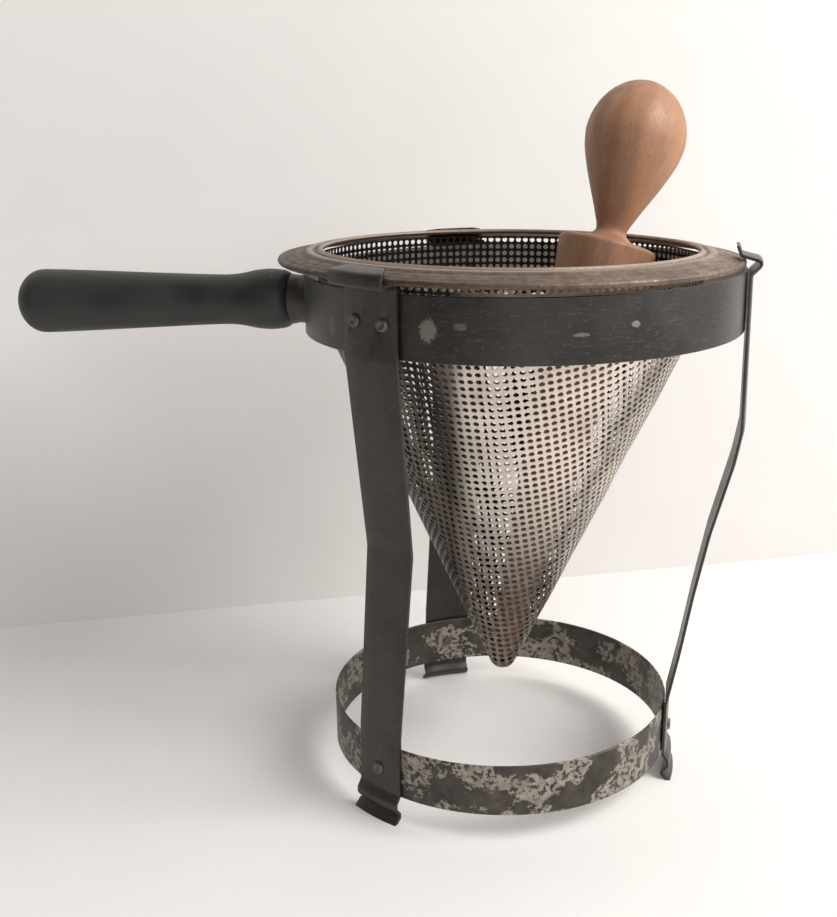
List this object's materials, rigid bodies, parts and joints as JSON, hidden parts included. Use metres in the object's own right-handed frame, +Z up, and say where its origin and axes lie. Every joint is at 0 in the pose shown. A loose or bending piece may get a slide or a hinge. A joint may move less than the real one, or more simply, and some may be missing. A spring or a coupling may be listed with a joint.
{
  "type": "potato ricer",
  "caption": "Perforated cone sieve with a turned-over rim, held in a strap-metal stand with a side handle and a spring catch, and worked with a wooden pestle.",
  "frame": {"origin": "middle of the bounding box, on the table the three feet stand on", "axes": "+Z up; +X from the side handle towards the spring catch; +Y across"},
  "size_m": [0.339, 0.1976, 0.3095],
  "materials": {
    "stand_steel": "blackened strap steel, rubbed and lightly rusted",
    "ring_steel": "darkened steel with flaking light tin patches",
    "rim_metal": "aged, mottled brown-grey sheet, rubbed bright on its beads",
    "sieve_metal": "bright tinned sheet, dulled in patches",
    "handle_paint": "very dark green paint, worn",
    "pestle_wood": "turned beech, oiled by use"
  },
  "bodies": {
    "stand": {"upper_band": "stand_steel", "base_ring": "ring_steel", "front_leg": "stand_steel", "back_leg": "stand_steel", "catch_foot": "stand_steel", "band_rivet_front_a": "stand_steel", "band_rivet_front_b": "stand_steel", "band_rivet_back_a": "stand_steel", "band_rivet_back_b": "stand_steel", "ring_rivet_front": "stand_steel", "ring_rivet_back": "stand_steel", "ring_rivet_catch": "stand_steel", "handle_bolt": "stand_steel", "handle_ferrule": "stand_steel", "handle_grip": "handle_paint"},
    "catch": {"catch_leg": "stand_steel"},
    "sieve": {"sieve_cone": "sieve_metal", "sieve_rim": "rim_metal", "sieve_tip": "sieve_metal"},
    "pestle": {"pestle": "pestle_wood"}
  },
  "joints": [
    {"name": "catch_open", "type": "hinge", "parent": "stand", "child": "catch", "pos_m": [0.14161, -0.00001, 0.0376], "axis": [0, 1, 0], "range_deg": [0, 6], "stiffness_Nm_per_rad": 10, "springref_deg": -1.15},
    {"name": "sieve_turn", "type": "hinge", "parent": "stand", "child": "sieve", "pos_m": [0.06401, -0.00001, 0.2368], "axis": [-0.0038, 0.0241, 0.9997], "continuous": true},
    {"name": "pestle_lift", "type": "slide", "parent": "sieve", "child": "pestle", "axis": [0.1942, 0.2467, 0.9494], "range_m": [0, 0.25]}
  ]
}
